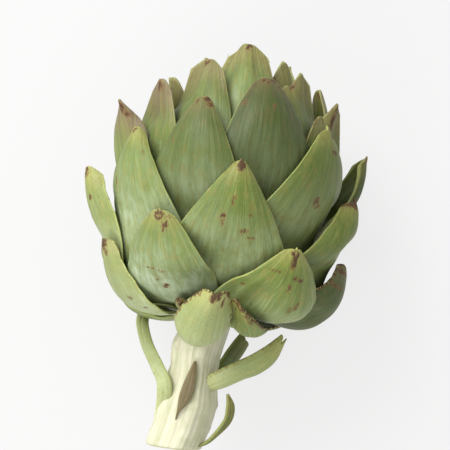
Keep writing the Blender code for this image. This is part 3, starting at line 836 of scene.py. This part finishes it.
def fine_leaf(leaf, roots, split, grid):
    """Outer and inner faces of a detailed stem leaf, and the values that its paint reads."""
    columns, rows = grid
    across, share = fine_steps(columns, rows)
    route = np.array([*(point for point, _ in roots), *leaf.route])
    last = len(route) - 1
    known_at = [*range(len(roots)), *np.linspace(len(roots), last, len(leaf.widths))]
    widths = np.interp(range(last + 1), known_at, [*(width for _, width in roots), *leaf.widths])
    middle = smooth_at(route, share * last)
    run = np.gradient(middle, axis=0)
    run /= np.linalg.norm(run, axis=1, keepdims=True)
    facing = np.array(leaf.facing) - run * (run @ np.array(leaf.facing))[:, None]
    facing /= np.linalg.norm(facing, axis=1, keepdims=True)
    side = np.cross(run, facing)
    half = smooth_at(widths, share * last) / 2
    length = np.linalg.norm(np.diff(route, axis=0), axis=1).sum()
    girth = half[:, None] * across[None, :]
    down = np.broadcast_to((length * (1 - share))[:, None], girth.shape)
    hollow = leaf.hollow * across**2 + 0.25 * np.exp(-((across / 0.16) ** 2))
    laid = (
        middle[:, None]
        + side[:, None] * girth[..., None]
        - facing[:, None] * (hollow + 0 * girth)[..., None]
        - run[:, None] * (split * np.exp(-((across / 0.4) ** 2)) * share[:, None] ** 14)[..., None]
    )
    rim = np.minimum(half[:, None] * (1 - np.abs(across)), down)
    thick = (leaf.thickness * (1 - LEAF_EDGE_THINNING * across**2) * rounded_off(rim))[..., None]
    values = {"across": across + 0 * girth, "girth": girth, "down": down, "rim": rim}
    return laid + facing[:, None] * thick / 2, laid - facing[:, None] * thick / 2, values


def laid_down():
    """The turn that lays the head's axis down, which is REST_PITCH above level."""
    return Matrix.Rotation(math.radians(REST_PITCH), 3, "X")


def turned(points):
    return points @ np.array(laid_down()).T


def floor_level():
    return turned(MIDDLE)[2] - FLOOR_DEPTH


ORIGIN = np.array([*BOX_MIDDLE, floor_level()])


def on_floor(points):
    """The points with those that would reach through the floor laid on it."""
    raised = points.copy()
    raised[..., 2] = np.maximum(points[..., 2], floor_level())
    return raised


def shell_piece(name, outer, inner, values, finish):
    """A blade as one closed mesh: outer face, inner face and the rim that joins them."""
    rows, columns = outer.shape[:2]
    count = rows * columns
    index = np.arange(count).reshape(rows, columns)
    a, b, c, d = index[:-1, :-1], index[:-1, 1:], index[1:, 1:], index[1:, :-1]
    front = np.stack([a, b, c, d], axis=-1).reshape(-1, 4)
    back = front[:, ::-1] + count
    loop = np.array([*index[0, :], *index[1:, -1], *index[-1, -2::-1], *index[-2:0:-1, 0]])
    after = np.roll(loop, -1)
    rim = np.stack([loop, loop + count, after + count, after], axis=-1)
    points = np.concatenate([outer.reshape(-1, 3), inner.reshape(-1, 3)])
    twice = {key: np.tile(value.ravel(), 2) for key, value in values.items()}
    return add_piece(name, points, np.concatenate([front, back, rim]), twice, [finish])


def ring_piece(name, rings, cap_rings, values, finishes):
    """A closed body through rings of points, the first cap_rings of which are its cut end."""
    sides = len(rings[0])
    points = np.concatenate([*rings, rings[0].mean(axis=0)[None], rings[-1].mean(axis=0)[None]])
    faces, slots = [], []
    for k in range(len(rings) - 1):
        for j in range(sides):
            a, b = k * sides + j, k * sides + (j + 1) % sides
            faces.append((a, a + sides, b + sides, b))
            slots.append(1 if k < cap_rings else 0)
    first, last = len(rings) * sides, len(rings) * sides + 1
    top = (len(rings) - 1) * sides
    for j in range(sides):
        after = (j + 1) % sides
        faces.append((j, after, first))
        slots.append(1)
        faces.append((top + after, top + j, last))
        slots.append(0)
    made = add_piece(name, points, faces, values, finishes)
    made.data.polygons.foreach_set("material_index", slots)
    return made


def add_piece(name, points, faces, values, finishes):
    """One smooth object, in metres, with the values that its paint reads kept on its points."""
    mesh = bpy.data.meshes.new(name)
    mesh.from_pydata(((points - ORIGIN) * MM).tolist(), [], [tuple(int(i) for i in f) for f in faces])
    for key, value in values.items():
        mesh.attributes.new(key, "FLOAT", "POINT").data.foreach_set("value", value.astype(np.float32))
    for finish in finishes:
        mesh.materials.append(finish)
    mesh.shade_smooth()
    made = bpy.data.objects.new(name, mesh)
    bpy.context.scene.collection.objects.link(made)
    return made


class Paint:
    """A material under construction, with short ways to make its nodes."""

    def __init__(self, name):
        self.material = bpy.data.materials.new(name)
        self.material.use_nodes = True
        self.nodes = self.material.node_tree.nodes
        self.links = self.material.node_tree.links
        self.shader = self.nodes["Principled BSDF"]

    def put(self, socket, value):
        """Sets a socket to a number or a colour, or joins it to another socket."""
        if isinstance(value, bpy.types.NodeSocket):
            self.links.new(value, socket)
        elif isinstance(value, tuple) and len(value) == 3 and socket.type == "RGBA":
            socket.default_value = (*value, 1)
        else:
            socket.default_value = value

    def value(self, name):
        node = self.nodes.new("ShaderNodeAttribute")
        node.attribute_name = name
        return node.outputs["Fac"]

    def maths(self, operation, a, b=0.0):
        node = self.nodes.new("ShaderNodeMath")
        node.operation = operation
        self.put(node.inputs[0], a)
        self.put(node.inputs[1], b)
        return node.outputs[0]

    def vector(self, x, y, z):
        node = self.nodes.new("ShaderNodeCombineXYZ")
        for socket, value in zip(node.inputs, (x, y, z)):
            self.put(socket, value)
        return node.outputs[0]

    def scaled(self, x, by_x, y, by_y, z):
        """A vector of x and y, each times its own factor, and of z as it is."""
        return self.vector(self.maths("MULTIPLY", x, by_x), self.maths("MULTIPLY", y, by_y), z)

    def noise(self, vector, scale, detail=2.0):
        node = self.nodes.new("ShaderNodeTexNoise")
        self.put(node.inputs["Vector"], vector)
        node.inputs["Scale"].default_value = scale
        node.inputs["Detail"].default_value = detail
        return node.outputs["Fac"]

    def span(self, value, low, high, start=0.0, end=1.0):
        """The value's place between low and high, smoothed, brought to run from start to end."""
        node = self.nodes.new("ShaderNodeMapRange")
        node.interpolation_type = "SMOOTHSTEP"
        for socket, given in zip(node.inputs, (value, low, high, start, end)):
            self.put(socket, given)
        return node.outputs[0]

    def mix(self, share, a, b, blend="MIX"):
        node = self.nodes.new("ShaderNodeMix")
        node.data_type = "RGBA"
        node.blend_type = blend
        self.put(node.inputs[0], share)
        self.put(node.inputs[6], a)
        self.put(node.inputs[7], b)
        return node.outputs[2]

    def bump(self, height, distance, strength=1.0):
        node = self.nodes.new("ShaderNodeBump")
        self.put(node.inputs["Height"], height)
        node.inputs["Distance"].default_value = distance
        node.inputs["Strength"].default_value = strength
        self.put(self.shader.inputs["Normal"], node.outputs[0])

    def done(self, colour, roughness):
        self.put(self.shader.inputs["Base Color"], colour)
        self.put(self.shader.inputs["Roughness"], roughness)
        return self.material


def bract_finish(name, green, pale):
    """Green skin with lengthwise veins, a pale margin, bloom, brown stains, specks and a purple tip."""
    p = Paint(name)
    across, girth, down, rim = (p.value(key) for key in ("across", "girth", "down", "rim"))
    seed = p.value("seed")
    veins = p.noise(p.scaled(across, 12, down, 0.05, seed), 1.0, 4)
    fine_veins = p.noise(p.scaled(across, 34, down, 0.12, seed), 1.0, 2)
    skin = p.vector(girth, down, seed)
    patches = p.noise(skin, 0.11, 3)
    mottle = p.noise(p.vector(girth, p.maths("MULTIPLY", down, 0.4), seed), 0.55, 5)
    grain = p.noise(skin, 1.6, 3)
    specks = p.noise(skin, 0.9, 1)
    pits = p.noise(skin, 1.7, 2)
    blots = p.noise(p.vector(girth, p.maths("MULTIPLY", down, 0.5), seed), 1.5, 4)

    colour = p.mix(p.span(down, 1.5, 10), YOUNG_TIP, green)
    colour = p.mix(p.span(down, 15, 40), colour, pale)
    bloomed = p.maths("MULTIPLY", p.value("bloom"), p.span(patches, 0.3, 0.65, 0.3, 1.0))
    bloomed = p.maths("MULTIPLY", bloomed, p.span(down, 8, 34, 0.15, 0.9))
    colour = p.mix(p.span(mottle, 0.5, 0.66, 0.0, 0.8), colour, OLIVE)
    colour = p.mix(p.span(mottle, 0.46, 0.3, 0.0, 0.45), colour, MOTTLE_SHADE, "MULTIPLY")
    colour = p.mix(p.maths("MULTIPLY", bloomed, p.span(mottle, 0.6, 0.38, 0.55, 1.0)), colour, BLOOM)
    colour = p.mix(p.span(veins, 0.35, 0.65, 0.0, 0.5), colour, VEIN_SHADE, "MULTIPLY")
    colour = p.mix(p.span(fine_veins, 0.55, 0.75, 0.0, 0.3), colour, VEIN_GREEN)
    # Darkening by the given darkness: the bract's own colour, and painted shade on the bracts of the head's
    # shaded right side
    dark = p.maths("MAXIMUM", p.value("tone"), 0.0)
    light = p.maths("MULTIPLY", p.maths("MINIMUM", p.value("tone"), 0.0), -0.8)
    colour = p.mix(dark, colour, TONE_SHADE, "MULTIPLY")
    colour = p.mix(light, colour, CREAM)
    colour = p.mix(p.span(rim, 0.7, 0.2, 0.0, 0.55), colour, MARGIN)
    purple = p.maths("MULTIPLY", p.value("purple"), p.span(veins, 0.25, 0.6, 0.6, 1.0))
    colour = p.mix(purple, colour, PURPLE)
    speckled = p.maths("MULTIPLY", p.span(specks, 0.68, 0.76), p.span(patches, 0.45, 0.6))
    blotched = p.maths("MULTIPLY", p.value("brown"), p.span(blots, 0.3, 0.7, 0.35, 1.45))
    rimmed = p.maths("MULTIPLY", p.span(rim, 1.8, 0.0), p.value("rim_brown"))
    rimmed = p.maths("MULTIPLY", rimmed, p.span(blots, 0.35, 0.6, 0.1, 1.2))
    stained = p.maths("MAXIMUM", blotched, rimmed)
    colour = p.mix(p.maths("MULTIPLY", speckled, 0.5), colour, RUST)
    colour = p.mix(p.span(pits, 0.64, 0.72, 0.0, 0.55), colour, BROWN)
    colour = p.mix(p.span(stained, 0.12, 0.5, 0.0, 0.8), colour, RUST)
    colour = p.mix(p.span(stained, 0.3, 0.7, 0.0, 0.92), colour, BROWN)

    relief = p.maths("ADD", p.maths("MULTIPLY", veins, 1.2), p.maths("MULTIPLY", fine_veins, 0.5))
    relief = p.maths("ADD", relief, p.maths("MULTIPLY", grain, 0.35))
    p.bump(relief, 0.00035, 0.6)
    p.shader.inputs["Specular IOR Level"].default_value = 0.35
    return p.done(colour, p.span(p.maths("ADD", patches, stained), 0.3, 1.4, 0.46, 0.7))


def stem_finish():
    """Pale ribbed skin with green streaks and a few brown specks, which turns green on the heart."""
    p = Paint("stem_skin")
    turn_x, turn_y, height = (p.value(key) for key in ("turn_x", "turn_y", "height"))
    streaks = p.noise(p.scaled(turn_x, 7, turn_y, 7, p.maths("MULTIPLY", height, 0.05)), 1.0, 4)
    skin = p.scaled(turn_x, 10, turn_y, 10, height)
    grain = p.noise(skin, 1.3, 3)
    patches = p.noise(skin, 0.16, 2)
    colour = p.mix(p.span(streaks, 0.35, 0.72, 0.0, 0.8), STEM_PALE, STEM_GREEN)
    colour = p.mix(p.span(patches, 0.4, 0.7, 0.0, 0.3), colour, PALE_GREEN)
    colour = p.mix(p.span(grain, 0.66, 0.8, 0.0, 0.2), colour, RUST)
    colour = p.mix(p.span(height, 4, 24), colour, p.mix(p.span(streaks, 0.4, 0.6), LEAF_GREEN, OLIVE))
    relief = p.maths("ADD", p.maths("MULTIPLY", streaks, 1.5), p.maths("MULTIPLY", grain, 0.4))
    p.bump(relief, 0.0005, 0.7)
    return p.done(colour, p.span(grain, 0.3, 0.7, 0.5, 0.65))


def cut_finish():
    """The cut face: cream pith with a ring of darker vessels, browned by the air."""
    p = Paint("stem_cut")
    turn_x, turn_y, share = (p.value(key) for key in ("turn_x", "turn_y", "share"))
    spread = p.scaled(turn_x, share, turn_y, share, 3.0)
    fibres = p.noise(spread, 22, 3)
    patches = p.noise(spread, 3.5, 2)
    ring = p.maths("MULTIPLY", p.span(share, 0.66, 0.78), p.span(share, 0.92, 0.82))
    colour = p.mix(p.span(patches, 0.4, 0.65, 0.0, 0.5), CUT_CREAM, STEM_PALE)
    colour = p.mix(p.maths("MULTIPLY", ring, p.span(fibres, 0.45, 0.6)), colour, STEM_GREEN)
    colour = p.mix(p.span(share, 0.9, 1.0, 0.0, 0.8), colour, STEM_GREEN)
    colour = p.mix(p.span(fibres, 0.62, 0.75, 0.0, 0.35), colour, BROWN)
    p.bump(fibres, 0.0005, 0.8)
    return p.done(colour, p.span(fibres, 0.3, 0.7, 0.6, 0.8))


def aimed(place, target, up=(0, 0, 1)):
    """The matrix of a camera or light at a place that looks at a target."""
    back = (Vector(place) - Vector(target)).normalized()
    right = Vector(up).cross(back).normalized()
    turn = Matrix((right, back.cross(right), back)).transposed().to_4x4()
    turn.translation = Vector(place)
    return turn


def add_area(name, place, target, size, power):
    light = bpy.data.lights.new(name, "AREA")
    light.shape = "DISK"
    light.size = size
    light.energy = power
    made = bpy.data.objects.new(name, light)
    made.matrix_world = aimed(place, target, (0, 1, 0))
    bpy.context.scene.collection.objects.link(made)


def add_camera():
    """The camera at the photograph's viewing angle: square to the head's axis, rolled a little."""
    target = (turned(np.array(LOOK_AT)) - ORIGIN) * MM
    way = turned(np.array([0.0, 0.0, 1.0]))
    roll = math.radians(CAMERA_ROLL)
    up = turned(np.array([-math.sin(roll), math.cos(roll), 0.0]))
    camera = bpy.data.cameras.new("camera")
    camera.sensor_width = SENSOR
    camera.lens = SENSOR * CAMERA_DISTANCE / (PICTURE * PIXEL * MM)
    camera.clip_start = 0.01
    made = bpy.data.objects.new("camera", camera)
    made.matrix_world = aimed(target + CAMERA_DISTANCE * way, target, up)
    bpy.context.scene.collection.objects.link(made)
    bpy.context.scene.camera = made
    return target


def add_world():
    world = bpy.data.worlds.new("studio")
    world.use_nodes = True
    background = world.node_tree.nodes["Background"]
    background.inputs["Color"].default_value = (1, 1, 1, 1)
    background.inputs["Strength"].default_value = WORLD_LIGHT
    bpy.context.scene.world = world
    bpy.context.scene.view_settings.view_transform = "Standard"


def add_floor():
    h = FLOOR_HALF
    mesh = bpy.data.meshes.new("floor")
    mesh.from_pydata([(-h, -h, 0), (h, -h, 0), (h, h, 0), (-h, h, 0)], [], [(0, 1, 2, 3)])
    p = Paint("floor")
    p.shader.inputs["Base Color"].default_value = (*FLOOR_COLOUR, 1)
    p.shader.inputs["Roughness"].default_value = 0.9
    p.shader.inputs["Emission Color"].default_value = (1, 1, 1, 1)
    p.shader.inputs["Emission Strength"].default_value = FLOOR_GLOW
    mesh.materials.append(p.material)
    floor = bpy.data.objects.new("floor", mesh)
    bpy.context.scene.collection.objects.link(floor)


def add_bracts(laid):
    finish = bract_finish("bract_skin", LEAF_GREEN, PALE_GREEN)
    for number, (outer, inner, values) in enumerate(laid, start=1):
        name = f"bract_{number:02d}"
        piece = shell_piece(f"{name}_skin", on_floor(turned(outer)), on_floor(turned(inner)), values, finish)
        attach(piece, "root")
        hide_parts(name)


def add_stem(cover):
    """The stem from its cut end up, with the heart on it."""
    cap = cut_rings()
    heights = np.linspace(-STEM_LENGTH + CUT_BEVEL, STEM_TOP, STEM_FINE_RINGS)
    rings = cap + [fine_stem_ring(h) for h in heights]
    angles, step = np.linspace(*HEART_ANGLES, HEART_RINGS, retstep=True)
    rings += [wound(heart_ring(a, step, cover)) for a in angles]
    turn = np.linspace(0, 2 * math.pi, STEM_FINE_SIDES, endpoint=False)
    count = len(rings)
    share = np.ones(count)
    share[: len(cap)] = CUT_SHARES
    values = {
        "turn_x": np.append(np.tile(np.cos(turn), count), [0, 0]),
        "turn_y": np.append(np.tile(np.sin(turn), count), [0, 0]),
        "height": np.concatenate([*(r[:, 1] for r in rings), [-STEM_LENGTH, HEAD_TOP]]),
        "share": np.append(np.repeat(share, STEM_FINE_SIDES), [0, 1]),
    }
    piece = ring_piece(
        "stem_and_heart_skin", [turned(r) for r in rings], len(cap), values, [stem_finish(), cut_finish()]
    )
    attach(piece, "root")
    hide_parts("stem_and_heart")


def add_stem_leaves():
    finish = bract_finish("stem_leaf_skin", LEAF_GREEN, PALE_GREEN)
    random = np.random.default_rng(SEED + 2)
    for name, leaf in STEM_LEAVES.items():
        outer, inner, values = fine_leaf(leaf, *LEAF_ROOTS[name], LEAF_FINE_GRID)
        ones = np.ones_like(values["down"])
        for key, value in zip(("brown", "tone", "bloom", "purple", "rim_brown"), LEAF_LOOKS[name]):
            values[key] = value * ones
        rooted = np.clip(values["down"] / values["down"].max() * 2 - 1, 0, 1)
        values["tone"] = values["tone"] - ROOT_PALENESS * rooted
        values["seed"] = random.uniform(0, 100) * ones
        piece = shell_piece(f"{name}_skin", turned(outer), turned(inner), values, finish)
        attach(piece, "root")
        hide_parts(name)


def add_lights(target):
    """Two large soft lights: the stronger from the picture's upper left, the other from its lower left."""
    for name, offset, power in LIGHTS:
        add_area(name, target + np.array(offset), target, LIGHT_SIZE, power)


def main():
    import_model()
    laid, cover = lay_up()
    add_bracts(laid)
    add_stem(cover)
    add_stem_leaves()
    add_world()
    add_floor()
    add_lights(add_camera())
    bpy.context.view_layer.update()


main()
